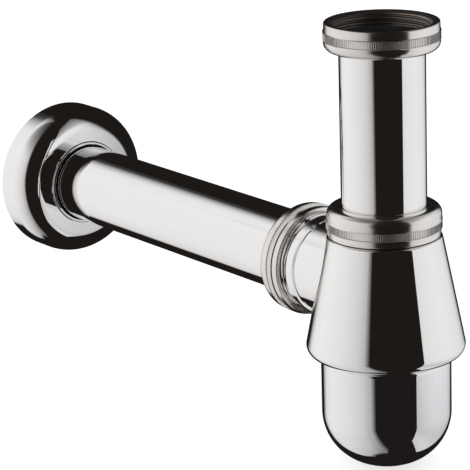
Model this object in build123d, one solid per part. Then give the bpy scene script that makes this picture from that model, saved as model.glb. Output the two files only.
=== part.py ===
"""Chromed brass bottle trap, 1 1/2 inch (40 mm tube), built as its separate pieces.

Frame: +Z up along the inlet pipe, +Y along the outlet pipe towards the wall, millimetres.
Origin: centre of the top face of the flat washer inside the inlet coupling nut, which is
the face that seals against the tail of the sink waste.

Turned pieces are drawn as a closed profile of (radius, height, corner radius) and revolved.
Pieces on the outlet are drawn the same way, with height along the outlet pipe, and then
laid over so that their height runs along +Y at the outlet's level.
"""
from build123d import *
from math import acos, atan, cos, hypot, sin, sqrt
import os

# ---------------------------------------------------------------- driving dimensions
TUBE_R = 20.0             # outside radius of both 40 mm pipes
TUBE_WALL = 1.0
PASS_R = 20.3             # hole that a pipe passes through
GLAND_R = 20.05           # bore of a rubber or plastic ring that grips a pipe

THREAD_MALE_R = 23.14     # G 1 1/2 thread drawn plain at its pitch radius, outside
THREAD_FEMALE_R = 23.19   # the same, inside
THREAD_PITCH = 2.309
NUT_TURNS = 4             # turns from tight to the end of the thread

NUT_LEN = 14.0            # slip nut, closed end to open end
NUT_R = 26.9              # nut's shoulder under the knurl
NUT_SKIRT_R = 26.4        # plain skirt at the open end
KNURL_R = 27.1            # over the knurled band
NUT_SHOULDER_R = 4.0      # rounding of the closed end
NUT_FLOOR = 3.0           # thickness of the closed end
KNURL_FROM, KNURL_TO = 6.7, 10.5   # knurled band, from the closed end

COUPLING_TOP = 7.2        # rim of the coupling nut above the washer
COUPLING_BOTTOM = -6.1
COUPLING_FLOOR = -3.7     # inside face that lifts the pipe's flange
WASHER_T = 2.0
FLANGE_T = 1.6
FLANGE_R = 22.5

NUT_TOP_Z = -79.4         # closed end of the inlet slip nut
INLET_END_Z = -112.0      # lower end of the inlet pipe, inside the dip tube

DECK_Z = -93.8            # flat top of the bell
DECK_T = 1.8
DECK_EDGE_R = 1.4
BELL_TOP_R = 27.5         # top of the cone, just under the deck's edge
BELL_TOP_Z = -95.6
BELL_SLOPE = 0.1969       # the cone widens by this much per millimetre down
BELL_BOTTOM_Z = -151.3
BELL_RIM_R = 4.6          # rounded rim
BELL_WALL = 1.5
BELL_MOUTH_R = 31.2       # turned-in underside, around the cup

OUTLET_Z = -117.8         # level of the outlet's axis
BRANCH_R = 23.0
BRANCH_STEP_Y = 40.0      # plain branch up to here, then a shoulder
BRANCH_SHOULDER_R = 23.9
BRANCH_THREAD_Y = 44.8
OUT_NUT_Y = 62.7          # closed end of the outlet slip nut
OUT_TUBE_FROM, OUT_TUBE_TO = 38.0, 292.0
WALL_Y = 270.0            # face of the wall, and the back of the rosette
GROOVE_R = 19.6           # rolled insertion mark round the pipe, just behind the wall's face
GROOVE_FROM, GROOVE_TO = 270.3, 271.5

RING_OUT_R = 34.0         # socket ring for the cup, inside the bell's rim
RING_TOP_Z = -138.6
RING_LEDGE_Z = -140.6
RING_BOTTOM_Z = -149.8
CUP_THREAD_MALE_R = 30.15
CUP_THREAD_FEMALE_R = 30.2
CUP_THREAD_PITCH = 2.0
CUP_TOP_Z = -142.7
CUP_R = 30.7
CUP_INSIDE_R = 28.8
CUP_SHOULDER_Z = -154.4   # where the rounded shoulder below the thread meets the plain side
CUP_SHOULDER_R = 2.5
CUP_BOTTOM_Z = -206.1
CUP_CORNER_R = 26.0       # the cup's round foot is a corner arc that runs into
CUP_CROWN_R = 50.0        # a flatter crown arc
CUP_WALL = 1.6

DIP_TUBE_R = 21.3
DIP_TUBE_END_Z = -187.0   # 50 mm below the outlet's invert, which is the water seal

ROSETTE_R = 40.0
ROSETTE_FACE_Y = 247.4
ROSETTE_LIP_Y = 246.4
ROSETTE_EDGE_R = 11.8
ROSETTE_SHEET = 1.2


# ---------------------------------------------------------------- profile tools
def face_of(points):
    """A closed face in the XZ half-plane from (radius, height[, corner radius])."""
    pts = [(p[0], p[1], p[2] if len(p) > 2 else 0.0) for p in points]
    n = len(pts)
    ends = []
    for i in range(n):
        x, z, rad = pts[i]
        if rad <= 0:
            ends.append(((x, z), None, (x, z)))
            continue
        ax, az = pts[i - 1][0] - x, pts[i - 1][1] - z
        bx, bz = pts[(i + 1) % n][0] - x, pts[(i + 1) % n][1] - z
        la, lb = hypot(ax, az), hypot(bx, bz)
        ax, az, bx, bz = ax / la, az / la, bx / lb, bz / lb
        half = sqrt((1 - (ax * bx + az * bz)) / 2)          # sine of half the corner
        cosh = sqrt(max(0.0, 1 - half * half))
        run = rad * cosh / half
        mx, mz = ax + bx, az + bz
        lm = hypot(mx, mz)
        reach = rad / half - rad
        ends.append((
            (x + ax * run, z + az * run),
            (x + mx / lm * reach, z + mz / lm * reach),
            (x + bx * run, z + bz * run),
        ))
    edges = []
    for i in range(n):
        start, mid, stop = ends[i]
        if mid is not None:
            edges.append(ThreePointArc((start[0], 0, start[1]), (mid[0], 0, mid[1]), (stop[0], 0, stop[1])))
        nxt = ends[(i + 1) % n][0]
        if hypot(nxt[0] - stop[0], nxt[1] - stop[1]) > 1e-6:
            edges.append(Line((stop[0], 0, stop[1]), (nxt[0], 0, nxt[1])))
    return Face(Wire(edges))


def turned(points):
    """Revolves a profile about the inlet's axis."""
    return revolve(face_of(points), axis=Axis.Z, revolution_arc=360)


def on_outlet(solid):
    """Lays a piece drawn along +Z over onto the outlet's axis, along +Y."""
    return Pos(0, 0, OUTLET_Z) * Rot(-90, 0, 0) * solid


def ring(r_in, r_out, low, high, edge=0.0):
    return turned([(r_in, low, edge), (r_out, low, edge), (r_out, high, edge), (r_in, high, edge)])


def round_ring(centre_r, section_r, z):
    """An O-ring."""
    return Pos(0, 0, z) * Torus(centre_r, section_r)


def slip_nut(top):
    """Slip nut with its closed end at height top and its thread open below."""
    return turned([
        (PASS_R, top, 0.4),
        (NUT_R, top, NUT_SHOULDER_R),
        (NUT_R, top - KNURL_FROM + 0.3),
        (KNURL_R, top - KNURL_FROM),
        (KNURL_R, top - KNURL_TO),
        (NUT_SKIRT_R + 0.2, top - KNURL_TO - 0.3),
        (NUT_SKIRT_R, top - NUT_LEN, 0.6),
        (THREAD_FEMALE_R + 1.0, top - NUT_LEN),
        (THREAD_FEMALE_R, top - NUT_LEN + 1.0),
        (THREAD_FEMALE_R, top - NUT_FLOOR),
        (PASS_R, top - NUT_FLOOR),
    ])


def friction_ring(top):
    """Hard slip ring between the nut's closed end and the cone seal."""
    return ring(PASS_R, 22.35, top - NUT_FLOOR - 1.05, top - NUT_FLOOR - 0.05)


def cone_seal(top):
    """Tapered seal: a flat flange on the socket's mouth and a cone inside it."""
    a = top - NUT_FLOOR - 1.1
    return turned([
        (GLAND_R, a),
        (22.35, a, 0.2),
        (22.35, a - 1.0, 0.2),
        (22.0, a - 1.0),
        (20.8, a - 5.5, 0.2),
        (GLAND_R, a - 5.5),
    ])


def mouth(top):
    """Height of the socket's rim, and the inside profile of its tapered seat."""
    rim = top - NUT_FLOOR - 2.2
    return rim, [(22.1, rim), (20.95, rim - 4.45), (PASS_R, rim - 4.65)]


# ---------------------------------------------------------------- inlet pipe and coupling
coupling_nut = turned([
    (PASS_R, COUPLING_BOTTOM, 0.4),
    (NUT_R, COUPLING_BOTTOM, NUT_SHOULDER_R),
    (NUT_R, -1.1),
    (KNURL_R, -0.8),
    (KNURL_R, 2.9),
    (26.7, 3.2),
    (26.6, COUPLING_TOP, 0.7),
    (THREAD_FEMALE_R + 1.2, COUPLING_TOP),
    (THREAD_FEMALE_R, COUPLING_TOP - 1.2),
    (THREAD_FEMALE_R, 0.0),
    (24.0, -0.6),                       # undercut where the thread runs out
    (24.0, COUPLING_FLOOR),
    (PASS_R, COUPLING_FLOOR),
])

flat_washer = ring(19.3, 22.8, -WASHER_T, 0.0, 0.25)

flange_under = -WASHER_T - FLANGE_T
inlet_tube = turned([
    (TUBE_R - TUBE_WALL, INLET_END_Z, 0.3),
    (TUBE_R, INLET_END_Z, 0.3),
    (TUBE_R, flange_under),
    (FLANGE_R, flange_under, 0.3),
    (FLANGE_R, -WASHER_T, 0.3),
    (TUBE_R - TUBE_WALL, -WASHER_T, 1.0),
])

# ---------------------------------------------------------------- bell
slope = atan(BELL_SLOPE)


def cone_r(z):
    """Outside radius of the bell's cone at height z."""
    return BELL_TOP_R + BELL_SLOPE * (BELL_TOP_Z - z)


def inside_r(z):
    return cone_r(z) - BELL_WALL / cos(slope)


bell_outside = [
    (THREAD_MALE_R, DECK_Z),
    (cone_r(DECK_Z) - 0.1, DECK_Z, DECK_EDGE_R),
    (cone_r(BELL_BOTTOM_Z), BELL_BOTTOM_Z, BELL_RIM_R),
    (BELL_MOUTH_R, BELL_BOTTOM_Z, 0.5),
]
rim_inner = BELL_BOTTOM_Z + BELL_WALL
deck_under = DECK_Z - DECK_T
bell_shell = turned(bell_outside + [
    (BELL_MOUTH_R, rim_inner),
    (inside_r(rim_inner), rim_inner, BELL_RIM_R - BELL_WALL),
    (inside_r(deck_under), deck_under, 0.6),
    (THREAD_MALE_R, deck_under),
])
bell_envelope = turned([
    (0, DECK_Z),
    (cone_r(DECK_Z) - 0.1, DECK_Z, DECK_EDGE_R),
    (cone_r(BELL_BOTTOM_Z), BELL_BOTTOM_Z, BELL_RIM_R),
    (0, BELL_BOTTOM_Z),
])
outlet_hole = on_outlet(Pos(0, 0, 30) * Cylinder(PASS_R, 60))
body_bell = bell_shell - outlet_hole

# Threaded neck, brazed through the hole in the deck, with a socket below for the dip tube.
SOCKET_R = 22.6
SOCKET_TOP_Z = -96.0
NECK_END_Z = -104.5
neck_rim, neck_seat = mouth(NUT_TOP_Z)
body_neck = turned([
    *neck_seat,
    (PASS_R, SOCKET_TOP_Z),
    (SOCKET_R, SOCKET_TOP_Z),
    (SOCKET_R, NECK_END_Z + 0.8),
    (SOCKET_R + 0.6, NECK_END_Z),
    (24.2, NECK_END_Z, 0.3),
    (24.2, deck_under - 1.6),
    (25.4, deck_under - 1.6, 0.3),
    (25.4, deck_under),
    (THREAD_MALE_R, deck_under),
    (THREAD_MALE_R, neck_rim - 0.5),
    (THREAD_MALE_R - 0.5, neck_rim),
])

# Outlet branch, brazed onto the side of the bell around the outlet hole.
branch_rim, branch_seat = mouth(OUT_NUT_Y)
branch_turned = turned([
    *branch_seat,
    (PASS_R, 15.0),
    (BRANCH_R, 15.0),
    (BRANCH_R, BRANCH_STEP_Y),
    (BRANCH_SHOULDER_R, BRANCH_STEP_Y + 0.3),
    (BRANCH_SHOULDER_R, BRANCH_THREAD_Y, 0.3),
    (THREAD_MALE_R, BRANCH_THREAD_Y),
    (THREAD_MALE_R, branch_rim - 0.5),
    (THREAD_MALE_R - 0.5, branch_rim),
])
outlet_branch = on_outlet(branch_turned) - bell_envelope

# Threaded ring brazed inside the bell's rim. The cup screws up into it.
cup_socket_ring = turned([
    (27.6, RING_TOP_Z, 0.3),
    (RING_OUT_R, RING_TOP_Z, 0.3),
    (RING_OUT_R, RING_BOTTOM_Z + 1.6),
    (RING_OUT_R - 1.6, RING_BOTTOM_Z),
    (CUP_THREAD_FEMALE_R + 0.7, RING_BOTTOM_Z),
    (CUP_THREAD_FEMALE_R, RING_BOTTOM_Z + 0.7),
    (CUP_THREAD_FEMALE_R, RING_LEDGE_Z),
    (27.6, RING_LEDGE_Z),
])

# ---------------------------------------------------------------- dip tube
dip_tube = turned([
    (PASS_R, DIP_TUBE_END_Z, 0.3),
    (DIP_TUBE_R, DIP_TUBE_END_Z, 0.3),
    (DIP_TUBE_R, -104.3),
    (22.5, -104.0),
    (22.5, -101.2),
    (21.0, -101.2),                     # groove for the O-ring
    (21.0, -99.0),
    (22.5, -99.0),
    (22.5, SOCKET_TOP_Z - 0.05),
    (PASS_R, SOCKET_TOP_Z - 0.05),
])
dip_tube_seal = round_ring(21.78, 0.78, -100.1)

# ---------------------------------------------------------------- cup
cup_seal = ring(27.9, 30.05, CUP_TOP_Z + 0.05, RING_LEDGE_Z - 0.05, 0.2)


def cup_foot(side_r, corner_r, crown_r, bottom):
    """Edges of the cup's round foot, from its side to its lowest point on the axis."""
    cx = side_r - corner_r
    zb = bottom + crown_r
    dz = sqrt((crown_r - corner_r) ** 2 - cx * cx)
    zc = zb - dz
    ux, uz = cx / (crown_r - corner_r), -dz / (crown_r - corner_r)
    meet = (ux * crown_r, zb + uz * crown_r)
    side = (side_r, zc)
    # middle of each arc, halfway round its angle
    mx, mz = 1 + ux, uz
    lm = hypot(mx, mz)
    corner_mid = (cx + corner_r * mx / lm, zc + corner_r * mz / lm)
    nx, nz = ux, uz - 1
    ln = hypot(nx, nz)
    crown_mid = (crown_r * nx / ln, zb + crown_r * nz / ln)
    return side, corner_mid, meet, crown_mid, (0.0, bottom)


def p3(p):
    return (p[0], 0, p[1])


# rounded shoulder between the thread and the cup's side
shoulder_in = CUP_THREAD_MALE_R - (CUP_R - CUP_SHOULDER_R)
shoulder_turn = acos(shoulder_in / CUP_SHOULDER_R) / 2
shoulder_mid = (
    CUP_R - CUP_SHOULDER_R + CUP_SHOULDER_R * cos(shoulder_turn),
    CUP_SHOULDER_Z + CUP_SHOULDER_R * sin(shoulder_turn),
)
shoulder_low = (CUP_R, CUP_SHOULDER_Z)
cup_top = [
    (CUP_INSIDE_R, CUP_TOP_Z),
    (CUP_THREAD_MALE_R - 0.4, CUP_TOP_Z),
    (CUP_THREAD_MALE_R, CUP_TOP_Z - 0.4),
    (CUP_THREAD_MALE_R, CUP_SHOULDER_Z + sqrt(CUP_SHOULDER_R**2 - shoulder_in**2)),
]
out_side, out_cm, out_meet, out_wm, out_low = cup_foot(CUP_R, CUP_CORNER_R, CUP_CROWN_R, CUP_BOTTOM_Z)
in_side, in_cm, in_meet, in_wm, in_low = cup_foot(
    CUP_INSIDE_R, CUP_CORNER_R - CUP_WALL, CUP_CROWN_R - CUP_WALL, CUP_BOTTOM_Z + CUP_WALL
)
cup_edges = [Line(p3(a), p3(b)) for a, b in zip(cup_top, cup_top[1:])]
cup_edges += [
    ThreePointArc(p3(cup_top[-1]), p3(shoulder_mid), p3(shoulder_low)),
    Line(p3(shoulder_low), p3(out_side)),
    ThreePointArc(p3(out_side), p3(out_cm), p3(out_meet)),
    ThreePointArc(p3(out_meet), p3(out_wm), p3(out_low)),
    Line(p3(out_low), p3(in_low)),
    ThreePointArc(p3(in_low), p3(in_wm), p3(in_meet)),
    ThreePointArc(p3(in_meet), p3(in_cm), p3(in_side)),
    Line(p3(in_side), p3(cup_top[0])),
]
bottle_cup = revolve(Face(Wire(cup_edges)), axis=Axis.Z, revolution_arc=360)

# ---------------------------------------------------------------- outlet pipe and rosette
outlet_tube = on_outlet(turned([
    (TUBE_R - TUBE_WALL, OUT_TUBE_FROM, 0.3),
    (TUBE_R, OUT_TUBE_FROM, 0.3),
    (TUBE_R, GROOVE_FROM),
    (GROOVE_R, GROOVE_FROM + 0.3),
    (GROOVE_R, GROOVE_TO - 0.3),
    (TUBE_R, GROOVE_TO),
    (TUBE_R, OUT_TUBE_TO - 0.5),
    (TUBE_R - 0.5, OUT_TUBE_TO),
    (TUBE_R - TUBE_WALL, OUT_TUBE_TO),
]))

# Pressed wall plate: a deep dish with a large rounded edge, a flat face and a low lip round the pipe.
# A collar behind the face holds the grip ring.
wall_rosette = on_outlet(turned([
    (ROSETTE_R, WALL_Y),
    (ROSETTE_R, ROSETTE_FACE_Y, ROSETTE_EDGE_R),
    (22.4, ROSETTE_FACE_Y),
    (22.1, ROSETTE_LIP_Y, 0.45),
    (20.7, ROSETTE_LIP_Y, 0.35),
    (20.7, 251.2),
    (21.5, 251.2),
    (21.5, 253.7),
    (20.7, 253.7),
    (20.7, 255.0),
    (22.9, 255.0),
    (22.9, ROSETTE_FACE_Y + ROSETTE_SHEET),
    (ROSETTE_R - ROSETTE_SHEET, ROSETTE_FACE_Y + ROSETTE_SHEET, ROSETTE_EDGE_R - ROSETTE_SHEET),
    (ROSETTE_R - ROSETTE_SHEET, WALL_Y),
]))
rosette_grip_ring = on_outlet(ring(GLAND_R, 21.4, 251.3, 253.6, 0.3))

# ---------------------------------------------------------------- write the pieces
pieces = {
    "inlet_coupling_nut": coupling_nut,
    "inlet_flat_washer": flat_washer,
    "inlet_tube": inlet_tube,
    "inlet_slip_nut": slip_nut(NUT_TOP_Z),
    "inlet_friction_ring": friction_ring(NUT_TOP_Z),
    "inlet_cone_seal": cone_seal(NUT_TOP_Z),
    "body_bell": body_bell,
    "body_neck": body_neck,
    "outlet_branch": outlet_branch,
    "cup_socket_ring": cup_socket_ring,
    "dip_tube": dip_tube,
    "dip_tube_seal": dip_tube_seal,
    "bottle_cup": bottle_cup,
    "cup_seal": cup_seal,
    "outlet_slip_nut": on_outlet(slip_nut(OUT_NUT_Y)),
    "outlet_friction_ring": on_outlet(friction_ring(OUT_NUT_Y)),
    "outlet_cone_seal": on_outlet(cone_seal(OUT_NUT_Y)),
    "outlet_tube": outlet_tube,
    "wall_rosette": wall_rosette,
    "rosette_grip_ring": rosette_grip_ring,
}

os.makedirs("parts", exist_ok=True)
for name, piece in pieces.items():
    solids = piece.solids()
    if len(solids) != 1:
        raise ValueError(f"{name} came out as {len(solids)} solids")
    export_step(solids[0], f"parts/{name}.step")
    print(name, round(solids[0].volume), "mm3")
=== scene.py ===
import math

import bmesh
import bpy
import numpy as np
from mathutils import Matrix, Vector


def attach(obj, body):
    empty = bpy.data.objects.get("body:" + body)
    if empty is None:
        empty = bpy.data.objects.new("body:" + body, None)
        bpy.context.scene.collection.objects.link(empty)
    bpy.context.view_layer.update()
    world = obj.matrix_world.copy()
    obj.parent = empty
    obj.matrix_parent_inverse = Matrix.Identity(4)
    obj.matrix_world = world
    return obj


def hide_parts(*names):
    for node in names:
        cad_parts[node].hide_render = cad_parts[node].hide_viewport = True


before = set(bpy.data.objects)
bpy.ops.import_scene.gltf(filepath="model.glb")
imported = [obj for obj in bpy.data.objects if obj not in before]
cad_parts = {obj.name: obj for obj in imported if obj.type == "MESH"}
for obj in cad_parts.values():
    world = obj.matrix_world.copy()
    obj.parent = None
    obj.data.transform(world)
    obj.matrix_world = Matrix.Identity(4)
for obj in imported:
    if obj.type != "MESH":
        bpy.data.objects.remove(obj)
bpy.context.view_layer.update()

MM = 0.001

# ------------------------------------------------------------------ dimensions, mm, as in the CAD
TUBE_R, PASS_R = 20.0, 20.3
MALE, FEMALE = 23.14, 23.19
PITCH = 2.309
THREAD_A = 0.66                      # half the thread's height
OUTLET_Z = -117.8
NUT_R, KNURL_R, SKIRT_R = 26.9, 27.1, 26.4
NUT_TOP_Z, OUT_NUT_Y = -79.4, 62.7
TEETH = 168                          # straight knurl of about 1 mm pitch
FINE = TEETH * 4
SEG = 256
CUP_PITCH, CUP_A = 2.0, 0.42

COL = bpy.context.scene.collection


# ------------------------------------------------------------------ profiles
def outline(points, step=6.0):
    """Segments of a closed profile of (radius, height[, corner radius]).
    Each is (start, end, normal at start, normal at end, corner it starts from). Normals point out of the metal."""
    pts = [(p[0], p[1], p[2] if len(p) > 2 else 0.0) for p in points]
    n = len(pts)
    area = sum(pts[i][0] * pts[(i + 1) % n][1] - pts[(i + 1) % n][0] * pts[i][1] for i in range(n))
    side = 1.0 if area > 0 else -1.0

    def out(a, b):
        dx, dz = b[0] - a[0], b[1] - a[1]
        ln = math.hypot(dx, dz)
        return (side * dz / ln, -side * dx / ln)

    corners = []
    for i in range(n):
        x, z, rad = pts[i]
        if rad <= 0:
            corners.append([((x, z), None)])
            continue
        ax, az = pts[i - 1][0] - x, pts[i - 1][1] - z
        bx, bz = pts[(i + 1) % n][0] - x, pts[(i + 1) % n][1] - z
        la, lb = math.hypot(ax, az), math.hypot(bx, bz)
        ax, az, bx, bz = ax / la, az / la, bx / lb, bz / lb
        half = math.sqrt((1 - (ax * bx + az * bz)) / 2)
        run = rad * math.sqrt(max(0.0, 1 - half * half)) / half
        mx, mz = ax + bx, az + bz
        lm = math.hypot(mx, mz)
        cx, cz = x + mx / lm * rad / half, z + mz / lm * rad / half
        s = (x + ax * run, z + az * run)
        e = (x + bx * run, z + bz * run)
        a0 = math.atan2(s[1] - cz, s[0] - cx)
        a1 = math.atan2(e[1] - cz, e[0] - cx)
        d = (a1 - a0 + math.pi) % (2 * math.pi) - math.pi
        k = max(2, int(math.ceil(abs(math.degrees(d)) / step)))
        # the arc's centre is inside the metal on a convex corner, outside on a concave one
        convex = (ax * bz - az * bx) * side < 0
        sign = 1.0 if convex else -1.0
        arc = []
        for j in range(k + 1):
            a = a0 + d * j / k
            arc.append(((cx + rad * math.cos(a), cz + rad * math.sin(a)), (sign * math.cos(a), sign * math.sin(a))))
        corners.append(arc)
    segs = []
    for i in range(n):
        arc = corners[i]
        for (p, u), (q, v) in zip(arc, arc[1:]):
            segs.append((p, q, u, v, i))
        p, q = arc[-1][0], corners[(i + 1) % n][0][0]
        if math.hypot(q[0] - p[0], q[1] - p[1]) > 1e-7:
            u = out(p, q)
            segs.append((p, q, u, u, i))
    return segs


def split_seg(segs, corner, count):
    """Cuts the straight segment that leaves a corner into equal parts, and marks them."""
    made = []
    for p, q, u, v, i in segs:
        if i == corner and u == v:
            for j in range(count):
                a, b = j / count, (j + 1) / count
                made.append((
                    (p[0] + (q[0] - p[0]) * a, p[1] + (q[1] - p[1]) * a),
                    (p[0] + (q[0] - p[0]) * b, p[1] + (q[1] - p[1]) * b),
                    u, v, ("cut", i, a, b),
                ))
        else:
            made.append((p, q, u, v, i))
    return made


# ------------------------------------------------------------------ mesh from profiles
def place(co, outlet):
    """Local turning frame to the row frame, mm to metres."""
    co = np.asarray(co, float)
    if outlet:
        co = np.stack([co[:, 0], co[:, 2], -co[:, 1]], axis=1)
        co = co + np.array([0, 0, OUTLET_Z])
    return co * MM


def place_n(no, outlet):
    no = np.asarray(no, float)
    if outlet:
        no = np.stack([no[:, 0], no[:, 2], -no[:, 1]], axis=1)
    return no


class Solid:
    """Gathers rings of vertices and faces with exact normals, then makes one closed mesh."""

    def __init__(self):
        self.co, self.faces, self.normals = [], [], []

    def ring(self, r, z, seg, shift=None):
        a = np.arange(seg) * 2 * math.pi / seg
        rr = np.full(seg, r) if shift is None else r + shift(a, np.full(seg, z))
        start = len(self.co)
        for k in range(seg):
            self.co.append((rr[k] * math.cos(a[k]), rr[k] * math.sin(a[k]), z))
        return list(range(start, start + seg))

    def point(self, z):
        self.co.append((0.0, 0.0, z))
        return [len(self.co) - 1]

    def face(self, ids, normals):
        self.faces.append(ids)
        self.normals.append(normals)

    def band(self, a, b, na, nb):
        """Quads between two rings of the same count. na and nb are (radial, axial) or arrays of 3-D normals."""
        n = max(len(a), len(b))

        def at(nn, k, seg):
            if isinstance(nn, np.ndarray):
                return tuple(nn[k % seg])
            t = 2 * math.pi * k / seg
            return (nn[0] * math.cos(t), nn[0] * math.sin(t), nn[1])

        for k in range(n):
            k2 = (k + 1) % n
            if len(a) == 1:
                ids = [a[0], b[k], b[k2]]
                nor = [(0, 0, na[1]), at(nb, k, n), at(nb, k2, n)]
            elif len(b) == 1:
                ids = [a[k], b[0], a[k2]]
                nor = [at(na, k, n), (0, 0, nb[1]), at(na, k2, n)]
            else:
                ids = [a[k], b[k], b[k2], a[k2]]
                nor = [at(na, k, n), at(nb, k, n), at(nb, k2, n), at(na, k2, n)]
            self.face(ids, nor)

    def bridge(self, a, b, axial):
        """Flat faces between a ring and another with a whole multiple of its count, or the other way round."""
        swap = len(a) > len(b)
        few, many = (b, a) if swap else (a, b)
        k = len(many) // len(few)
        for j in range(len(few)):
            j2 = (j + 1) % len(few)
            run = [many[(k * j + i) % len(many)] for i in range(k + 1)]
            ids = [few[j]] + run + [few[j2]]
            self.face(ids, [(0, 0, axial)] * len(ids))

    def build(self, name, outlet=False):
        # every face is wound so that it looks the way its normals do
        co = np.array(self.co, float)
        for i, ids in enumerate(self.faces):
            q = co[ids]
            area = np.cross(q - q[0], np.roll(q, -1, axis=0) - q[0]).sum(0)
            if area @ np.sum(self.normals[i], axis=0) < 0:
                self.faces[i] = ids[::-1]
                self.normals[i] = self.normals[i][::-1]
        mesh = bpy.data.meshes.new(name)
        co = place(self.co, outlet)
        mesh.from_pydata([tuple(c) for c in co], [], self.faces)
        mesh.update()
        flat = place_n([n for f in self.normals for n in f], outlet)
        flat /= np.maximum(np.linalg.norm(flat, axis=1, keepdims=True), 1e-12)
        mesh.polygons.foreach_set("use_smooth", [True] * len(mesh.polygons))
        mesh.normals_split_custom_set([tuple(v) for v in flat])
        obj = bpy.data.objects.new(name, mesh)
        COL.objects.link(obj)
        return obj


def surface_normals(shift, r, z, seg, sign):
    """Normals of a surface whose radius is r + shift(angle, z)."""
    a = np.arange(seg) * 2 * math.pi / seg
    zz = np.full(seg, z)
    da, dz = 1e-4, 1e-3
    rr = r + shift(a, zz)
    dra = (shift(a + da, zz) - shift(a - da, zz)) / (2 * da)
    drz = (shift(a, zz + dz) - shift(a, zz - dz)) / (2 * dz)
    ca, sa = np.cos(a), np.sin(a)
    # gradient of radius - r(a, z)
    n = np.stack([ca + dra / rr * sa, sa - dra / rr * ca, -drz], axis=1) * sign
    return n / np.linalg.norm(n, axis=1, keepdims=True)


def lathe(name, points, seg=SEG, outlet=False, cuts=None, shifts=None, step=6.0):
    """A turned piece. cuts: corner -> parts of the straight run after it; shifts: corner -> radius shift there."""
    segs = outline(points, step)
    for corner, count in (cuts or {}).items():
        segs = split_seg(segs, corner, count)
    shifts = shifts or {}
    s = Solid()

    def corner_of(tag):
        return tag[1] if isinstance(tag, tuple) else tag

    n = len(segs)
    rings = []
    for i, (p, q, u, v, tag) in enumerate(segs):
        # the ring at the start of segment i: shifted if both sides of it are in the same shifted run
        before = segs[i - 1][4]
        shift = None
        c = corner_of(tag)
        if c in shifts and corner_of(before) == c and isinstance(tag, tuple) and isinstance(before, tuple):
            shift = shifts[c]
        if abs(p[0]) < 1e-9:
            rings.append((s.point(p[1]), None))
        else:
            rings.append((s.ring(p[0], p[1], seg, shift), shift))
    for i, (p, q, u, v, tag) in enumerate(segs):
        a, sa_ = rings[i]
        b, sb_ = rings[(i + 1) % n]
        if len(a) == 1 and len(b) == 1:
            continue
        c = corner_of(tag)
        if c in shifts and isinstance(tag, tuple):
            sign = 1.0 if u[0] > 0 else -1.0
            f = shifts[c]
            na = surface_normals(f, p[0], p[1], len(a), sign) if sa_ is not None else u
            nb = surface_normals(f, q[0], q[1], len(b), sign) if sb_ is not None else v
            s.band(a, b, na, nb)
        else:
            s.band(a, b, u, v)
    return s.build(name, outlet)


def thread(low, high, fade, pitch=PITCH, amp=THREAD_A, keep_out=None):
    """Radius shift of a right-hand thread between two heights, fading to plain at its ends."""
    def f(a, z):
        t = (z / pitch - a / (2 * math.pi)) % 1.0
        w = np.abs(2 * t - 1) * 2 - 1                       # a V form
        w = np.tanh(w * 1.6) / math.tanh(1.6)               # with rounded crests and roots
        k = np.clip((z - low) / fade, 0, 1) * np.clip((high - z) / fade, 0, 1)
        k = k * k * (3 - 2 * k)
        return amp * w * k
    return f


def ring_points(r_in, r_out, low, high, edge=0.0):
    return [(r_in, low, edge), (r_out, low, edge), (r_out, high, edge), (r_in, high, edge)]


# ------------------------------------------------------------------ knurl
def knurl_rings(s, r, z0, z1, lift):
    """Gives a function that adds one ring of the knurled band at a height: crests at r, roots lift below. z0 and z1 are
    not used.
    """
    tooth = np.tile([0.0, 0.0, -lift, -lift], TEETH)
    def make(z, k):
        a = np.arange(FINE) * 2 * math.pi / FINE
        rr = r + tooth * k
        start = len(s.co)
        for j in range(FINE):
            s.co.append((rr[j] * math.cos(a[j]), rr[j] * math.sin(a[j]), z))
        return list(range(start, start + FINE)), rr
    return make


def flat_band(s, a, b):
    """Facets between two rings with their own flat normals, for the knurl's teeth."""
    n = len(a)
    for k in range(n):
        k2 = (k + 1) % n
        ids = [a[k], b[k], b[k2], a[k2]]
        p = [np.array(s.co[i]) for i in ids]
        nn = np.cross(p[2] - p[0], p[3] - p[1])
        nn = nn / np.linalg.norm(nn)
        mid = (p[0] + p[2]) / 2
        if nn[0] * mid[0] + nn[1] * mid[1] < 0:
            nn = -nn
        s.face(ids, [tuple(nn)] * 4)


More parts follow.
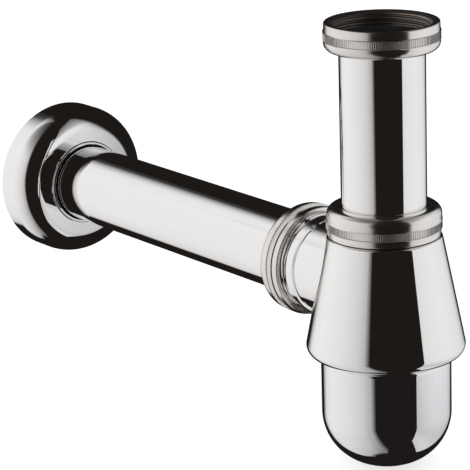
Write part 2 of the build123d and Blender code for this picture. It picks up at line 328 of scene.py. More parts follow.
def nut(name, points, knurl_corner, thread_corner, shift, outlet=False, thread_cuts=56, step=5.0):
    """A knurled nut. Its outside has FINE segments and its inside FINE // 4; flat rims join the two.
    points run from the lip at the pipe, out over the shoulder, down the outside, and back up the bore."""
    segs = outline(points, step)
    segs = split_seg(segs, thread_corner, thread_cuts)
    s = Solid()

    def corner(tag):
        return tag[1] if isinstance(tag, tuple) else tag

    outside = set(range(1, knurl_corner + 4))
    rings = []
    m = len(segs)
    knurl_ring = {}
    for i, (p, q, u, v, tag) in enumerate(segs):
        before = segs[i - 1][4]
        c, cb = corner(tag), corner(before)
        count = FINE if (c in outside or (cb in outside and c not in outside and abs(segs[i][2][1]) < 0.999)) else FINE // 4
        if c in outside:
            count = FINE
        shifted = isinstance(tag, tuple) and isinstance(before, tuple) and c == cb
        rings.append(s.ring(p[0], p[1], count, shift if shifted else None))
    make = None
    for i, (p, q, u, v, tag) in enumerate(segs):
        a, b = rings[i], rings[(i + 1) % m]
        c = corner(tag)
        if c == knurl_corner:
            make = knurl_rings(s, p[0], p[1], q[1], 0.42)
            sgn = 1 if q[1] > p[1] else -1
            r0, _ = make(p[1] + sgn * 0.16, 1.0)
            r1, _ = make(q[1] - sgn * 0.16, 1.0)
            flat_band(s, a, r0)
            flat_band(s, r0, r1)
            flat_band(s, r1, b)
        elif isinstance(tag, tuple):
            sign = 1.0 if u[0] > 0 else -1.0
            na = surface_normals(shift, p[0], p[1], len(a), sign) if isinstance(segs[i - 1][4], tuple) else u
            nb = surface_normals(shift, q[0], q[1], len(b), sign) if isinstance(segs[(i + 1) % m][4], tuple) else v
            s.band(a, b, na, nb)
        elif len(a) != len(b):
            s.bridge(a, b, u[1])
        else:
            s.band(a, b, u, v)
    return s.build(name, outlet)


def slip_nut_points(top):
    return [
        (PASS_R, top, 0.4),                                  # 0 lip round the pipe
        (NUT_R, top, 4.0),                                   # 1 rounded shoulder
        (NUT_R, top - 6.4),                                  # 2
        (KNURL_R, top - 6.7),                                # 3 knurl from here
        (KNURL_R, top - 10.5),                               # 4 to here
        (SKIRT_R + 0.2, top - 10.8),                         # 5
        (SKIRT_R, top - 14.0, 0.6),                          # 6 open end
        (FEMALE + 1.0, top - 14.0),                          # 7
        (FEMALE, top - 13.0),                                # 8 thread from here
        (FEMALE, top - 3.0),                                 # 9 to here
        (PASS_R, top - 3.0),                                 # 10
    ]


def coupling_points():
    return [
        (PASS_R, -6.1, 0.4),
        (NUT_R, -6.1, 4.0),
        (NUT_R, -1.1),
        (KNURL_R, -0.8),
        (KNURL_R, 2.9),
        (26.7, 3.2),
        (26.6, 7.2, 0.7),
        (FEMALE + 1.2, 7.2),
        (FEMALE, 6.0),
        (FEMALE, 0.0),
        (24.0, -0.6),
        (24.0, -3.7),
        (PASS_R, -3.7),
    ]


# ------------------------------------------------------------------ materials
def new_material(name):
    m = bpy.data.materials.new(name)
    m.use_nodes = True
    nt = m.node_tree
    nt.nodes.clear()
    out = nt.nodes.new("ShaderNodeOutputMaterial")
    bsdf = nt.nodes.new("ShaderNodeBsdfPrincipled")
    nt.links.new(bsdf.outputs[0], out.inputs[0])
    return m, nt, bsdf


def noise(nt, coord, scale, detail=2.0, rough=0.5, stretch=None):
    n = nt.nodes.new("ShaderNodeTexNoise")
    n.inputs["Scale"].default_value = scale
    n.inputs["Detail"].default_value = detail
    n.inputs["Roughness"].default_value = rough
    src = coord
    if stretch is not None:
        mp = nt.nodes.new("ShaderNodeMapping")
        mp.inputs["Scale"].default_value = stretch
        nt.links.new(coord, mp.inputs["Vector"])
        src = mp.outputs[0]
    nt.links.new(src, n.inputs["Vector"])
    return n.outputs["Fac"]


def ramp(nt, fac, stops, interp="LINEAR"):
    r = nt.nodes.new("ShaderNodeValToRGB")
    r.color_ramp.interpolation = interp
    el = r.color_ramp.elements
    while len(el) < len(stops):
        el.new(0.5)
    for e, (pos, col) in zip(el, stops):
        e.position = pos
        e.color = (*col, 1.0) if hasattr(col, "__len__") else (col, col, col, 1.0)
    nt.links.new(fac, r.inputs[0])
    return r.outputs[0]


def rng(nt, fac, a, b, c, d):
    m = nt.nodes.new("ShaderNodeMapRange")
    m.inputs["From Min"].default_value = a
    m.inputs["From Max"].default_value = b
    m.inputs["To Min"].default_value = c
    m.inputs["To Max"].default_value = d
    nt.links.new(fac, m.inputs["Value"])
    return m.outputs[0]


def mul(nt, a, b, op="MULTIPLY"):
    m = nt.nodes.new("ShaderNodeMath")
    m.operation = op
    for i, x in enumerate((a, b)):
        if isinstance(x, (int, float)):
            m.inputs[i].default_value = x
        else:
            nt.links.new(x, m.inputs[i])
    return m.outputs[0]


def bump(nt, bsdf, height, strength, distance):
    b = nt.nodes.new("ShaderNodeBump")
    b.inputs["Strength"].default_value = strength
    b.inputs["Distance"].default_value = distance
    nt.links.new(height, b.inputs["Height"])
    nt.links.new(b.outputs[0], bsdf.inputs["Normal"])


def coords(nt):
    return nt.nodes.new("ShaderNodeTexCoord").outputs["Object"]


def chrome(name, tint=(0.93, 0.925, 0.92), rough=0.035, lathe_axis=None):
    """Bright chrome plate: faint smears in the gloss, fine polishing lines round the turned axis."""
    m, nt, b = new_material(name)
    b.inputs["Metallic"].default_value = 1.0
    co = coords(nt)
    smear = noise(nt, co, 38.0, 3.0, 0.6)
    specks = noise(nt, co, 900.0, 1.0, 0.5)
    col = ramp(nt, smear, [(0.3, tuple(c * 0.985 for c in tint)), (0.7, tint)])
    nt.links.new(col, b.inputs["Base Color"])
    stretch = {"z": (2.0, 2.0, 900.0), "y": (2.0, 900.0, 2.0)}.get(lathe_axis, (60.0, 60.0, 60.0))
    lines = noise(nt, co, 1.0, 2.0, 0.6, stretch=stretch)
    r = rng(nt, smear, 0.3, 0.75, rough * 0.7, rough * 1.35)
    r2 = rng(nt, specks, 0.72, 0.8, 0.0, 0.06)
    nt.links.new(mul(nt, r, r2, "ADD"), b.inputs["Roughness"])
    bump(nt, b, lines, 0.05, 0.00002)
    return m


def satin(name, axis):
    """The nuts: chrome over a machined surface, slightly warmer and softer than the pipes."""
    m, nt, b = new_material(name)
    b.inputs["Metallic"].default_value = 1.0
    co = coords(nt)
    stretch = {"z": (3.0, 3.0, 2600.0), "y": (3.0, 2600.0, 3.0)}[axis]
    lines = noise(nt, co, 1.0, 3.0, 0.7, stretch=stretch)
    smear = noise(nt, co, 60.0, 2.0, 0.5)
    col = ramp(nt, smear, [(0.3, (0.80, 0.772, 0.745)), (0.7, (0.86, 0.836, 0.815))])
    rough = rng(nt, lines, 0.3, 0.7, 0.13, 0.21)
    if axis == "z":
        # the coupling nut's bore is duller than its outside; its darker colour there is painted shade in the recess
        flat = nt.nodes.new("ShaderNodeVectorMath")
        flat.operation = "MULTIPLY"
        nt.links.new(co, flat.inputs[0])
        flat.inputs[1].default_value = (1.0, 1.0, 0.0)
        far = nt.nodes.new("ShaderNodeVectorMath")
        far.operation = "LENGTH"
        nt.links.new(flat.outputs[0], far.inputs[0])
        xyz = nt.nodes.new("ShaderNodeSeparateXYZ")
        nt.links.new(co, xyz.inputs[0])
        bore = mul(nt, rng(nt, far.outputs["Value"], 0.0249, 0.0245, 0.0, 1.0),
                   rng(nt, xyz.outputs[2], -0.0042, -0.0038, 0.0, 1.0))
        mix = nt.nodes.new("ShaderNodeMix")
        mix.data_type = "RGBA"
        nt.links.new(bore, mix.inputs[0])
        nt.links.new(col, mix.inputs[6])
        # painted shade: this dark colour stands in for the shade inside the bore
        mix.inputs[7].default_value = (0.36, 0.315, 0.29, 1.0)
        col = mix.outputs[2]
        rough = mul(nt, rough, mul(nt, bore, 0.26), "ADD")
    nt.links.new(col, b.inputs["Base Color"])
    nt.links.new(rough, b.inputs["Roughness"])
    bump(nt, b, lines, 0.25, 0.00002)
    return m


def brass(name):
    """Unplated cast and turned brass, where the plating doesn't reach."""
    m, nt, b = new_material(name)
    b.inputs["Metallic"].default_value = 1.0
    co = coords(nt)
    blotch = noise(nt, co, 55.0, 4.0, 0.6)
    nt.links.new(ramp(nt, blotch, [(0.3, (0.50, 0.335, 0.13)), (0.55, (0.66, 0.48, 0.20)), (0.8, (0.72, 0.55, 0.27))]), b.inputs["Base Color"])
    nt.links.new(rng(nt, noise(nt, co, 400.0, 2.0), 0.3, 0.7, 0.24, 0.42), b.inputs["Roughness"])
    bump(nt, b, noise(nt, co, 1.0, 2.0, 0.6, stretch=(3, 3, 1500)), 0.2, 0.00003)
    return m


def rubber(name, base=(0.018, 0.018, 0.019)):
    m, nt, b = new_material(name)
    co = coords(nt)
    bloom = noise(nt, co, 120.0, 4.0, 0.65)
    nt.links.new(ramp(nt, bloom, [(0.35, base), (0.75, tuple(c * 2.1 for c in base))]), b.inputs["Base Color"])
    nt.links.new(rng(nt, bloom, 0.3, 0.7, 0.5, 0.72), b.inputs["Roughness"])
    b.inputs["Specular IOR Level"].default_value = 0.35
    bump(nt, b, noise(nt, co, 2200.0, 3.0, 0.6), 0.3, 0.00005)
    return m


def plastic(name):
    m, nt, b = new_material(name)
    co = coords(nt)
    flow = noise(nt, co, 25.0, 2.0, 0.5)
    nt.links.new(ramp(nt, flow, [(0.3, (0.76, 0.765, 0.75)), (0.7, (0.82, 0.82, 0.80))]), b.inputs["Base Color"])
    nt.links.new(rng(nt, noise(nt, co, 700.0, 3.0), 0.3, 0.7, 0.32, 0.46), b.inputs["Roughness"])
    b.inputs["Subsurface Weight"].default_value = 0.12
    b.inputs["Subsurface Radius"].default_value = (0.002, 0.002, 0.0018)
    bump(nt, b, noise(nt, co, 1500.0, 2.0), 0.15, 0.00004)
    return m


CHROME_Z = chrome("chrome_inlet", lathe_axis="z")
CHROME_Y = chrome("chrome_outlet", lathe_axis="y")
CHROME_CUP = chrome("chrome_cup", tint=(0.905, 0.91, 0.925), rough=0.035, lathe_axis="z")
SATIN_Z = satin("satin_inlet", "z")
SATIN_Y = satin("satin_outlet", "y")
BRASS = brass("turned_brass")
RUBBER = rubber("black_rubber")
WHITE = plastic("white_plastic")


def dress(obj, material, body, nodes):
    obj.data.materials.clear()
    obj.data.materials.append(material)
    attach(obj, body)
    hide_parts(*nodes)
    return obj


# ------------------------------------------------------------------ inlet side
G_IN_TOP = thread(NUT_TOP_Z - 13.0, NUT_TOP_Z - 5.3, 0.9)
G_COUPLING = thread(0.0, 6.0, 0.9)
G_OUT = thread(OUT_NUT_Y - 13.0, OUT_NUT_Y - 5.3, 0.9)

dress(nut("coupling_nut_shell", coupling_points(), 3, 8, G_COUPLING), SATIN_Z,
      "coupling_nut", ["inlet_coupling_nut"])
dress(nut("inlet_slip_nut_shell", slip_nut_points(NUT_TOP_Z), 3, 8, G_IN_TOP), SATIN_Z,
      "inlet_nut", ["inlet_slip_nut"])
dress(nut("outlet_slip_nut_shell", slip_nut_points(OUT_NUT_Y), 3, 8, G_OUT, outlet=True), SATIN_Y,
      "outlet_nut", ["outlet_slip_nut"])

dress(lathe("inlet_pipe_skin", [
    (19.0, -112.0, 0.3), (20.0, -112.0, 0.3), (20.0, -3.6, 0.35), (22.5, -3.6, 0.3), (22.5, -2.0, 0.3), (19.0, -2.0, 1.0),
]), CHROME_Z, "inlet_pipe", ["inlet_tube"])
dress(lathe("flat_washer_ring", ring_points(19.3, 22.8, -2.0, 0.0, 0.25), seg=128), RUBBER,
      "inlet_pipe", ["inlet_flat_washer"])


def friction_points(top):
    return ring_points(20.3, 22.35, top - 4.05, top - 3.05, 0.15)


def cone_points(top):
    a = top - 4.1
    return [(20.05, a), (22.35, a, 0.2), (22.35, a - 1.0, 0.2), (22.0, a - 1.0), (20.8, a - 5.5, 0.2), (20.05, a - 5.5)]


dress(lathe("inlet_friction_washer", friction_points(NUT_TOP_Z), seg=128), WHITE,
      "inlet_nut_ring", ["inlet_friction_ring"])
dress(lathe("inlet_cone_ring", cone_points(NUT_TOP_Z), seg=128), RUBBER,
      "inlet_gland", ["inlet_cone_seal"])

# ------------------------------------------------------------------ bottle
DECK_Z, BELL_BOTTOM = -93.8, -151.3
SLOPE = 0.1969
TILT = math.cos(math.atan(SLOPE))


def cone_r(z):
    return 27.5 + SLOPE * (-95.6 - z)


def bell_inside_r(z):
    return cone_r(z) - 1.5 / TILT


BELL = [
    (23.14, DECK_Z),
    (cone_r(DECK_Z) - 0.1, DECK_Z, 1.4),
    (cone_r(BELL_BOTTOM), BELL_BOTTOM, 4.6),
    (31.2, BELL_BOTTOM, 0.5),
    (31.2, BELL_BOTTOM + 1.5),
    (bell_inside_r(BELL_BOTTOM + 1.5), BELL_BOTTOM + 1.5, 3.1),
    (bell_inside_r(DECK_Z - 1.8), DECK_Z - 1.8, 0.6),
    (23.14, DECK_Z - 1.8),
]


def bell_radius(z):
    """Outside radius of the bell at a height, on its side."""
    best = None
    for p, q, u, v, _ in outline(BELL, 4.0):
        lo, hi = min(p[1], q[1]), max(p[1], q[1])
        if lo - 1e-9 <= z <= hi + 1e-9 and hi - lo > 1e-9:
            r = p[0] + (q[0] - p[0]) * (z - p[1]) / (q[1] - p[1])
            best = r if best is None else max(best, r)
    return best


def renormal(obj, segs, axis_hole=None):
    """Gives a turned mesh its exact normals again after a cut: each face takes the profile segment nearest its middle."""
    mesh = obj.data
    P = np.array([s[0] for s in segs])
    Q = np.array([s[1] for s in segs])
    U = np.array([s[2] for s in segs])
    V = np.array([s[3] for s in segs])
    D = Q - P
    L2 = np.maximum((D * D).sum(1), 1e-12)
    co = np.zeros(len(mesh.vertices) * 3)
    mesh.vertices.foreach_get("co", co)
    co = co.reshape(-1, 3) / MM
    normals = np.zeros((len(mesh.loops), 3))
    for poly in mesh.polygons:
        ids = list(poly.vertices)
        c = co[ids].mean(0)
        fn = np.array(poly.normal)
        if axis_hole is not None:
            across = np.hypot(co[ids][:, 0], co[ids][:, 2] - OUTLET_Z)
            if np.all(np.abs(across - axis_hole) < 0.02) and abs(fn[1]) < 0.3:
                for k, li in enumerate(poly.loop_indices):
                    w = np.array([-co[ids[k]][0], 0, -(co[ids[k]][2] - OUTLET_Z)])
                    normals[li] = w / np.linalg.norm(w)
                continue
        rz = np.array([math.hypot(c[0], c[1]), c[2]])
        t = np.clip(((rz - P) * D).sum(1) / L2, 0, 1)
        gap = np.linalg.norm(rz - (P + D * t[:, None]), axis=1)
        # the right side of the wall: its normal agrees with the face's
        rad = np.array([c[0], c[1]]) / max(rz[0], 1e-9)
        agree = U[:, 0] * (fn[0] * rad[0] + fn[1] * rad[1]) + U[:, 1] * fn[2]
        i = int(np.argmin(gap + np.where(agree > 0.3, 0, 5.0)))
        for k, li in enumerate(poly.loop_indices):
            v = co[ids[k]]
            r = math.hypot(v[0], v[1])
            tt = min(1.0, max(0.0, ((r - P[i][0]) * D[i][0] + (v[2] - P[i][1]) * D[i][1]) / L2[i]))
            n = U[i] * (1 - tt) + V[i] * tt
            n = n / np.linalg.norm(n)
            normals[li] = (n[0] * v[0] / r, n[0] * v[1] / r, n[1])
    mesh.polygons.foreach_set("use_smooth", [True] * len(mesh.polygons))
    mesh.normals_split_custom_set([tuple(n) for n in normals])


def cut_round(obj, radius, y0, y1):
    """Cuts a round hole along the outlet's axis."""
    tool = bpy.data.meshes.new("tool")
    bm = bmesh.new()
    n = 192
    rings = []
    for y in (y0, y1):
        rings.append([bm.verts.new((radius * math.cos(2 * math.pi * k / n) * MM, y * MM,
                                    (OUTLET_Z + radius * math.sin(2 * math.pi * k / n)) * MM)) for k in range(n)])
    for k in range(n):
        bm.faces.new([rings[0][k], rings[0][(k + 1) % n], rings[1][(k + 1) % n], rings[1][k]])
    bm.faces.new(rings[0][::-1])
    bm.faces.new(rings[1])
    bmesh.ops.recalc_face_normals(bm, faces=bm.faces)
    bm.to_mesh(tool)
    bm.free()
    cutter = bpy.data.objects.new("cutter", tool)
    COL.objects.link(cutter)
    mod = obj.modifiers.new("cut", "BOOLEAN")
    mod.operation = "DIFFERENCE"
    mod.solver = "EXACT"
    mod.object = cutter
    bpy.context.view_layer.update()
    done = bpy.data.meshes.new_from_object(obj.evaluated_get(bpy.context.evaluated_depsgraph_get()))
    obj.modifiers.clear()
    old = obj.data
    obj.data = done
    bpy.data.meshes.remove(old)
    bpy.data.objects.remove(cutter)
    bpy.data.meshes.remove(tool)


bell = lathe("bell_skin", BELL, cuts={1: 14, 5: 10}, step=4.0)
cut_round(bell, 20.3, 8.0, 60.0)
renormal(bell, outline(BELL, 4.0), axis_hole=20.3)
dress(bell, CHROME_Z, "bottle", ["body_bell"])


def mouth(rim):
    return [(22.1, rim), (20.95, rim - 4.45), (20.3, rim - 4.65)]


neck = lathe("neck_brass", mouth(-84.6) + [
    (20.3, -96.0), (22.6, -96.0), (22.6, -103.7), (23.2, -104.5), (24.2, -104.5, 0.3), (24.2, -97.2),
    (25.4, -97.2, 0.3), (25.4, -95.6), (MALE, -95.6), (MALE, -85.1), (22.64, -84.6),
], cuts={11: 60}, shifts={11: thread(-93.7, -85.0, 1.0)})
dress(neck, BRASS, "bottle", ["body_neck"])


def branch():
    """The outlet branch: turned outside and bore, with its near end shaped to the bell's side."""
    pts = mouth(57.5) + [
        (20.3, 15.0), (23.0, 15.0), (23.0, 40.0), (23.9, 40.3), (23.9, 44.8, 0.3),
        (MALE, 44.8), (MALE, 57.0), (22.64, 57.5),
    ]
    segs = split_seg(outline(pts), 8, 64)
    shift = thread(45.0, 57.0, 1.0)
    s = Solid()
    seg = SEG
    a = np.arange(seg) * 2 * math.pi / seg

    def saddle(r):
        ids = []
        for k in range(seg):
            x, up = r * math.cos(a[k]), OUTLET_Z - r * math.sin(a[k])
            y = math.sqrt(max(bell_radius(up) ** 2 - x * x, 0.0))
            s.co.append((x, r * math.sin(a[k]), y))
            ids.append(len(s.co) - 1)
        return ids

    rings = []
    for i, (p, q, u, v, tag) in enumerate(segs):
        before = segs[i - 1][4]
        if abs(p[1] - 15.0) < 1e-6:
            rings.append(saddle(p[0]))
        else:
            both = isinstance(tag, tuple) and isinstance(before, tuple)
            rings.append(s.ring(p[0], p[1], seg, shift if both else None))
    m = len(segs)
    for i, (p, q, u, v, tag) in enumerate(segs):
        a_, b_ = rings[i], rings[(i + 1) % m]
        if isinstance(tag, tuple):
            na = surface_normals(shift, p[0], p[1], seg, 1.0) if isinstance(segs[i - 1][4], tuple) else u
            nb = surface_normals(shift, q[0], q[1], seg, 1.0) if isinstance(segs[(i + 1) % m][4], tuple) else v
            s.band(a_, b_, na, nb)
        else:
            s.band(a_, b_, u, v)
    return s.build("outlet_branch_skin", True)

dress(branch(), CHROME_Y, "bottle", ["outlet_branch"])

dress(lathe("cup_socket_brass", [
    (27.6, -138.6, 0.3), (34.0, -138.6, 0.3), (34.0, -148.2), (32.4, -149.8), (30.9, -149.8), (30.2, -149.1),
    (30.2, -140.6), (27.6, -140.6),
], cuts={5: 44}, shifts={5: thread(-149.2, -143.0, 0.8, CUP_PITCH, CUP_A)}), BRASS,
      "bottle", ["cup_socket_ring"])
dress(lathe("dip_tube_moulding", [
    (20.3, -187.0, 0.3), (21.3, -187.0, 0.3), (21.3, -104.3), (22.5, -104.0), (22.5, -101.2), (21.0, -101.2),
    (21.0, -99.0), (22.5, -99.0), (22.5, -96.05), (20.3, -96.05),
], seg=160), WHITE, "bottle", ["dip_tube"])


def o_ring(name, r, rad, z):
    k = 20
    pts = [(r + rad * math.cos(2 * math.pi * i / k), z + rad * math.sin(2 * math.pi * i / k)) for i in range(k)]
    s = Solid()
    rings = [s.ring(p[0], p[1], 160) for p in pts]
    for i in range(k):
        u = (math.cos(2 * math.pi * i / k), math.sin(2 * math.pi * i / k))
        v = (math.cos(2 * math.pi * (i + 1) / k), math.sin(2 * math.pi * (i + 1) / k))
        s.band(rings[i], rings[(i + 1) % k], u, v)
    return s.build(name)


dress(o_ring("dip_tube_o_ring", 21.78, 0.78, -100.1), RUBBER, "bottle", ["dip_tube_seal"])
dress(lathe("cup_gasket_ring", ring_points(27.9, 29.7, -142.65, -140.65, 0.2), seg=160), RUBBER,
      "cup_gasket", ["cup_seal"])


# ------------------------------------------------------------------ cup
def foot(side_r, corner_r, crown_r, bottom):
    """Arc from the cup's side to its lowest point: (radius, height, normal) of its points, outward."""
    cx = side_r - corner_r
    zb = bottom + crown_r
    zc = zb - math.sqrt((crown_r - corner_r) ** 2 - cx * cx)
    meet = math.atan2(zc - zb, cx)          # angle at which the arcs meet, from the axis' right
    pts = []
    k = 26
    for i in range(k + 1):
        a = meet * i / k
        pts.append((cx + corner_r * math.cos(a), zc + corner_r * math.sin(a), math.cos(a), math.sin(a)))
    k = 20
    for i in range(1, k + 1):
        a = meet + (-math.pi / 2 - meet) * i / k
        pts.append((crown_r * math.cos(a), zb + crown_r * math.sin(a), math.cos(a), math.sin(a)))
    pts[-1] = (0.0, bottom, 0.0, -1.0)
    return pts


CUP_R, CUP_TOP, CUP_BOTTOM = 30.7, -142.7, -206.1
SHOULDER_R, SHOULDER_Z = 2.5, -154.4
SHOULDER_IN = 30.15 - (CUP_R - SHOULDER_R)


def cup():
    s = Solid()
    shift = thread(-150.3, -143.0, 0.8, CUP_PITCH, CUP_A)
    seg = SEG
    # outside, from the rim down to the pole
    rows = [(28.8, CUP_TOP), (29.75, CUP_TOP), (30.15, CUP_TOP - 0.4)]
    z0, z1, n = CUP_TOP - 0.4, SHOULDER_Z + math.sqrt(SHOULDER_R ** 2 - SHOULDER_IN ** 2), 54
    side = [(30.15, z0 + (z1 - z0) * i / n) for i in range(n + 1)]
    top = s.ring(28.8, CUP_TOP, seg)
    lip = s.ring(29.75, CUP_TOP, seg)
    s.band(top, lip, (0, 1), (0, 1))
    ch = s.ring(30.15, z0, seg)
    s.band(lip, ch, (0.7071, 0.7071), (0.7071, 0.7071))
    before, nb = ch, (1, 0)
    for i in range(1, n + 1):
        r, z = side[i]
        this = s.ring(r, z, seg, shift if 0 < i < n else None)
        nt_ = surface_normals(shift, r, z, seg, 1.0) if 0 < i < n else (1, 0)
        s.band(before, this, nb, nt_)
        before, nb = this, nt_
    # rounded shoulder
    turn = math.acos(SHOULDER_IN / SHOULDER_R)
    nb = (math.cos(turn), math.sin(turn))
    for i in range(1, 11):
        a = turn * (1 - i / 10)
        this = s.ring(CUP_R - SHOULDER_R + SHOULDER_R * math.cos(a), SHOULDER_Z + SHOULDER_R * math.sin(a), seg)
        s.band(before, this, nb, (math.cos(a), math.sin(a)))
        before, nb = this, (math.cos(a), math.sin(a))
    edge, z1 = before, SHOULDER_Z + 0.2
    outer = foot(CUP_R, 26.0, 50.0, CUP_BOTTOM)
    z2 = outer[0][1]
    before, nb = edge, (1, 0)
    for i in range(1, 7):
        this = s.ring(CUP_R, z1 - 0.2 + (z2 - z1 + 0.2) * i / 6, seg)
        s.band(before, this, nb, (1, 0))
        before = this
    for r, z, nr, nz in outer[1:]:
        this = s.point(z) if r < 1e-6 else s.ring(r, z, seg)
        s.band(before, this, nb, (nr, nz))
        before, nb = this, (nr, nz)
    # inside, from the rim down
    inner = foot(28.8, 24.4, 48.4, CUP_BOTTOM + 1.6)
    before, nb = top, (-1, 0)
    z2 = inner[0][1]
    for i in range(1, 7):
        this = s.ring(28.8, CUP_TOP + (z2 - CUP_TOP) * i / 6, seg)
        s.band(before, this, nb, (-1, 0))
        before = this
    for r, z, nr, nz in inner[1:]:
        this = s.point(z) if r < 1e-6 else s.ring(r, z, seg)
        s.band(before, this, nb, (-nr, -nz))
        before, nb = this, (-nr, -nz)
    return s.build("cup_skin")


dress(cup(), CHROME_CUP, "cup", ["bottle_cup"])

# ------------------------------------------------------------------ outlet side
dress(lathe("outlet_friction_washer", friction_points(OUT_NUT_Y), seg=128, outlet=True), WHITE,
      "outlet_nut_ring", ["outlet_friction_ring"])
dress(lathe("outlet_cone_ring", cone_points(OUT_NUT_Y), seg=128, outlet=True), RUBBER,
      "outlet_gland", ["outlet_cone_seal"])
dress(lathe("outlet_pipe_skin", [
    (19.0, 38.0, 0.3), (20.0, 38.0, 0.3), (20.0, 270.3), (19.6, 270.6), (19.6, 271.2), (20.0, 271.5),
    (20.0, 291.5), (19.5, 292.0), (19.0, 292.0),
], cuts={1: 8}, outlet=True), CHROME_Y, "outlet_pipe", ["outlet_tube"])
dress(lathe("rosette_plate", [
    (40.0, 270.0, 0.55), (40.0, 247.4, 11.8), (22.4, 247.4), (22.1, 246.4, 0.45), (20.7, 246.4, 0.35), (20.7, 251.2),
    (21.5, 251.2), (21.5, 253.7), (20.7, 253.7), (20.7, 255.0), (22.9, 255.0), (22.9, 248.6), (38.8, 248.6, 10.6),
    (38.8, 270.0, 0.3),
], outlet=True, step=3.0), CHROME_Y, "rosette", ["wall_rosette"])
dress(lathe("rosette_grip_rubber", ring_points(20.05, 21.4, 251.3, 253.6, 0.3), seg=128, outlet=True), RUBBER,
      "rosette_slider", ["rosette_grip_ring"])


# ------------------------------------------------------------------ floor
def floor():
    mesh = bpy.data.meshes.new("studio_floor")
    bm = bmesh.new()
    n, size = 24, 9.0
    grid = [[bm.verts.new((size * (i / n - 0.5), size * (j / n - 0.5), CUP_BOTTOM * MM - 0.0006)) for j in range(n + 1)]
            for i in range(n + 1)]
    for i in range(n):
        for j in range(n):
            bm.faces.new([grid[i][j], grid[i + 1][j], grid[i + 1][j + 1], grid[i][j + 1]])
    bm.to_mesh(mesh)
    bm.free()
    obj = bpy.data.objects.new("studio_floor", mesh)
    COL.objects.link(obj)
    m, nt, b = new_material("pale_floor")
    co = coords(nt)
    nt.links.new(ramp(nt, noise(nt, co, 3.0, 3.0), [(0.3, (0.86, 0.86, 0.86)), (0.7, (0.88, 0.88, 0.88))]), b.inputs["Base Color"])
    b.inputs["Roughness"].default_value = 0.9
    b.inputs["Specular IOR Level"].default_value = 0.0
    b.inputs["Emission Color"].default_value = (1, 1, 1, 1)
    b.inputs["Emission Strength"].default_value = 0.62
    obj.data.materials.append(m)
    obj.visible_glossy = False
    return obj


floor()


# ------------------------------------------------------------------ studio: a far soft panel on the left, a near card on
# the right, black gaps between
DARK = (0.0125, 0.0105, 0.0095)


def grey(v, tint=(1.0, 1.0, 1.0)):
    """Linear colour that shows as the 8-bit grey v in polished chrome."""
    c = v / 255.0
    c = c / 12.92 if c <= 0.04045 else ((c + 0.055) / 1.055) ** 2.4
    return tuple(c / 0.93 * k for k in tint)


def card():
    """White card on the right, upright, about 150 mm from the trap; only mirrors show it."""
    x0, y0, x1, y1 = 58.0, -294.0, 192.0, 81.0
    foot_line = [(0.0, -470.0), (0.6, -470.0), (0.75, -335.0), (0.9, -222.0), (1.0, -182.0)]
    mesh = bpy.data.meshes.new("studio_card")
    bm = bmesh.new()
    rows = []
    for i in range(41):
        k = i / 40
        for (ka, za), (kb, zb) in zip(foot_line, foot_line[1:]):
            if k <= kb:
                low = za + (zb - za) * (k - ka) / (kb - ka)
                break
        rows.append([bm.verts.new(((x0 + (x1 - x0) * k) * MM, (y0 + (y1 - y0) * k) * MM, z * MM))
                     for z in (low, low + (400.0 - low) * 0.5, 400.0)])
    for a, b in zip(rows, rows[1:]):
        for j in range(2):
            bm.faces.new([a[j], b[j], b[j + 1], a[j + 1]])
    bm.to_mesh(mesh)
    bm.free()
    obj = bpy.data.objects.new("studio_card", mesh)
    COL.objects.link(obj)
    m = bpy.data.materials.new("lit_card")
    m.use_nodes = True
    nt = m.node_tree
    nt.nodes.clear()
    out = nt.nodes.new("ShaderNodeOutputMaterial")
    glow = nt.nodes.new("ShaderNodeEmission")
    nt.links.new(glow.outputs[0], out.inputs[0])
    xyz = nt.nodes.new("ShaderNodeSeparateXYZ")
    nt.links.new(nt.nodes.new("ShaderNodeTexCoord").outputs["Object"], xyz.inputs[0])
    k = rng(nt, xyz.outputs[1], y0 * MM, y1 * MM, 0.0, 1.0)
    cool = (0.99, 0.997, 1.012)
    along = ramp(nt, k, [(0.0, grey(219)), (0.25, grey(227)), (0.5, grey(232)), (0.7, grey(227, cool)),
                         (0.80, grey(212, cool)), (0.87, grey(178, cool)), (0.93, grey(70, cool)), (0.97, DARK)])
    z = rng(nt, xyz.outputs[2], -0.5, 0.4, 0.0, 1.0)
    tall = [(-470, 0.72), (-380, 0.83), (-300, 0.70), (-255, 0.76), (-205, 0.93), (-140, 1.0), (-5, 1.0), (35, 0.78),
            (70, 0.58), (140, 0.42), (260, 0.28), (390, 0.15)]
    tall_v = ramp(nt, z, [((v / 1000 + 0.5) / 0.9, (g, g, g)) for v, g in tall])
    nt.links.new(along, glow.inputs[0])
    nt.links.new(tall_v, glow.inputs[1])
    obj.data.materials.append(m)
    obj.visible_camera = False
    obj.visible_diffuse = False
    obj.visible_shadow = False


card()


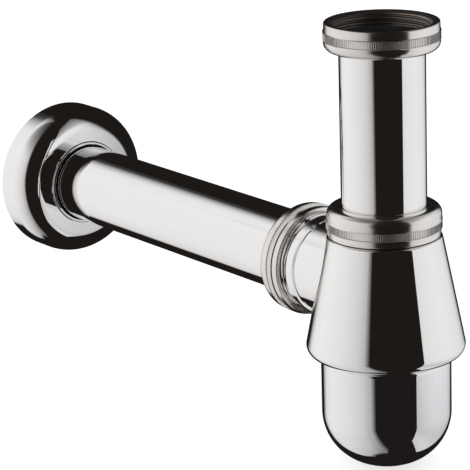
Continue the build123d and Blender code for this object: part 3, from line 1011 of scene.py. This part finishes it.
def studio():
    world = bpy.data.worlds.new("studio")
    bpy.context.scene.world = world
    world.use_nodes = True
    nt = world.node_tree
    nt.nodes.clear()
    out = nt.nodes.new("ShaderNodeOutputWorld")
    bg = nt.nodes.new("ShaderNodeBackground")
    nt.links.new(bg.outputs[0], out.inputs[0])
    d = nt.nodes.new("ShaderNodeTexCoord").outputs["Generated"]

    def dot(v):
        n = nt.nodes.new("ShaderNodeVectorMath")
        n.operation = "DOT_PRODUCT"
        nt.links.new(d, n.inputs[0])
        n.inputs[1].default_value = v
        return n.outputs["Value"]

    side = dot((0.7996, -0.6006, 0.0))
    fwd = dot((-0.6006, -0.7996, 0.0))
    up = dot((0.0, 0.0, 1.0))
    theta = mul(nt, side, fwd, "ARCTAN2")
    t = rng(nt, theta, -math.pi, math.pi, 0.0, 1.0)

    def at(deg):
        return (deg + 180.0) / 360.0

    warm = (1.008, 0.997, 0.988)
    # brightness of the left panel by bearing from the camera, dark behind and in the front gap
    left = [
        (-160, DARK), (-152, grey(70)), (-146, grey(165)), (-139, grey(212, warm)),
        (-133, grey(230, warm)), (-115, grey(236, warm)), (-95, grey(232, warm)), (-75, grey(226, warm)),
        (-55, grey(214, warm)), (-45, grey(204, warm)), (-35, grey(182, warm)), (-22, grey(165, warm)),
        (-2, grey(165, warm)), (0, DARK),
    ]
    ring_col = ramp(nt, t, [(at(a), c) for a, c in left])

    # slanting front edge of the panel
    low_up = mul(nt, mul(nt, up, 0.0, "MINIMUM"), 0.2)
    over = mul(nt, mul(nt, mul(nt, side, -1.0), mul(nt, fwd, 0.6), "SUBTRACT"), low_up, "SUBTRACT")
    front = rng(nt, over, -0.085, 0.085, 0.0, 1.0)

    # lower edge, by bearing
    e = mul(nt, up, 0.0, "ARCSINE")
    e_deg = mul(nt, e, 180.0 / math.pi)
    low = [(-168, 14), (-160, 3), (-155, -8), (-150, -21), (-145, -31), (-135, -50), (-125, -68), (-110, -76), (-30, -77)]
    low_ramp = ramp(nt, t, [(at(a), ((v + 90.0) / 180.0,) * 3) for a, v in low])
    low_deg = rng(nt, low_ramp, 0.0, 1.0, -90.0, 90.0)
    foot_edge = rng(nt, mul(nt, e_deg, low_deg, "SUBTRACT"), -3.0, 3.0, 0.0, 1.0)

    # fading with height, later at the back
    lift = mul(nt, rng(nt, t, at(-131), at(-119), 15.0, 0.0), rng(nt, e_deg, 0.0, 20.0, 0.0, 1.0))
    height = rng(nt, mul(nt, e_deg, lift, "SUBTRACT"), -90.0, 90.0, 0.0, 1.0)
    fade = [(-80, 0.5), (-70, 0.61), (-60, 0.755), (-50, 0.85), (-40, 0.88), (-30, 0.95), (-10, 1.0), (30, 1.0),
            (38, 0.8), (45, 0.57), (55, 0.34), (65, 0.19), (75, 0.08), (85, 0.03)]
    fade_v = ramp(nt, height, [((v + 90.0) / 180.0, (k, k, k)) for v, k in fade])

    amount = mul(nt, mul(nt, front, foot_edge), fade_v)
    col = nt.nodes.new("ShaderNodeMix")
    col.data_type = "RGBA"
    col.inputs[6].default_value = (*DARK, 1.0)
    nt.links.new(amount, col.inputs[0])
    nt.links.new(ring_col, col.inputs[7])

    # what the camera itself sees past the floor is plain white
    lp = nt.nodes.new("ShaderNodeLightPath")
    see = nt.nodes.new("ShaderNodeMix")
    see.data_type = "RGBA"
    nt.links.new(lp.outputs["Is Camera Ray"], see.inputs[0])
    nt.links.new(col.outputs[2], see.inputs[6])
    see.inputs[7].default_value = (1.0, 1.0, 1.0, 1.0)
    # floor and plastic are lit by an even sky, so that the shadow stays soft
    dif = nt.nodes.new("ShaderNodeMix")
    dif.data_type = "RGBA"
    nt.links.new(lp.outputs["Is Diffuse Ray"], dif.inputs[0])
    nt.links.new(see.outputs[2], dif.inputs[6])
    dif.inputs[7].default_value = (0.62, 0.62, 0.62, 1.0)
    nt.links.new(dif.outputs[2], bg.inputs["Color"])
    bg.inputs["Strength"].default_value = 1.0


studio()


# ------------------------------------------------------------------ camera
def camera():
    cam = bpy.data.cameras.new("camera")
    cam.lens = 195.0
    cam.sensor_width = 36.0
    cam.clip_start, cam.clip_end = 0.05, 20.0
    obj = bpy.data.objects.new("camera", cam)
    COL.objects.link(obj)
    az, el, roll = math.radians(-36.92), math.radians(16.44), math.radians(-1.76)
    back = Vector((math.sin(az) * math.cos(el), -math.cos(az) * math.cos(el), math.sin(el)))
    right = (-back).cross(Vector((0, 0, 1))).normalized()
    up = right.cross(-back)
    r2 = right * math.cos(roll) + up * math.sin(roll)
    u2 = -right * math.sin(roll) + up * math.cos(roll)
    spot = right * -0.0694 + Vector((0, 0, -0.0920)) + back * 1.1819
    m = Matrix((
        (r2.x, u2.x, back.x, spot.x),
        (r2.y, u2.y, back.y, spot.y),
        (r2.z, u2.z, back.z, spot.z),
        (0, 0, 0, 1),
    ))
    obj.matrix_world = m
    bpy.context.scene.camera = obj


camera()
view = bpy.context.scene.view_settings
view.view_transform = "Standard"
view.look = "None"
view.exposure = 0.0
view.gamma = 1.0
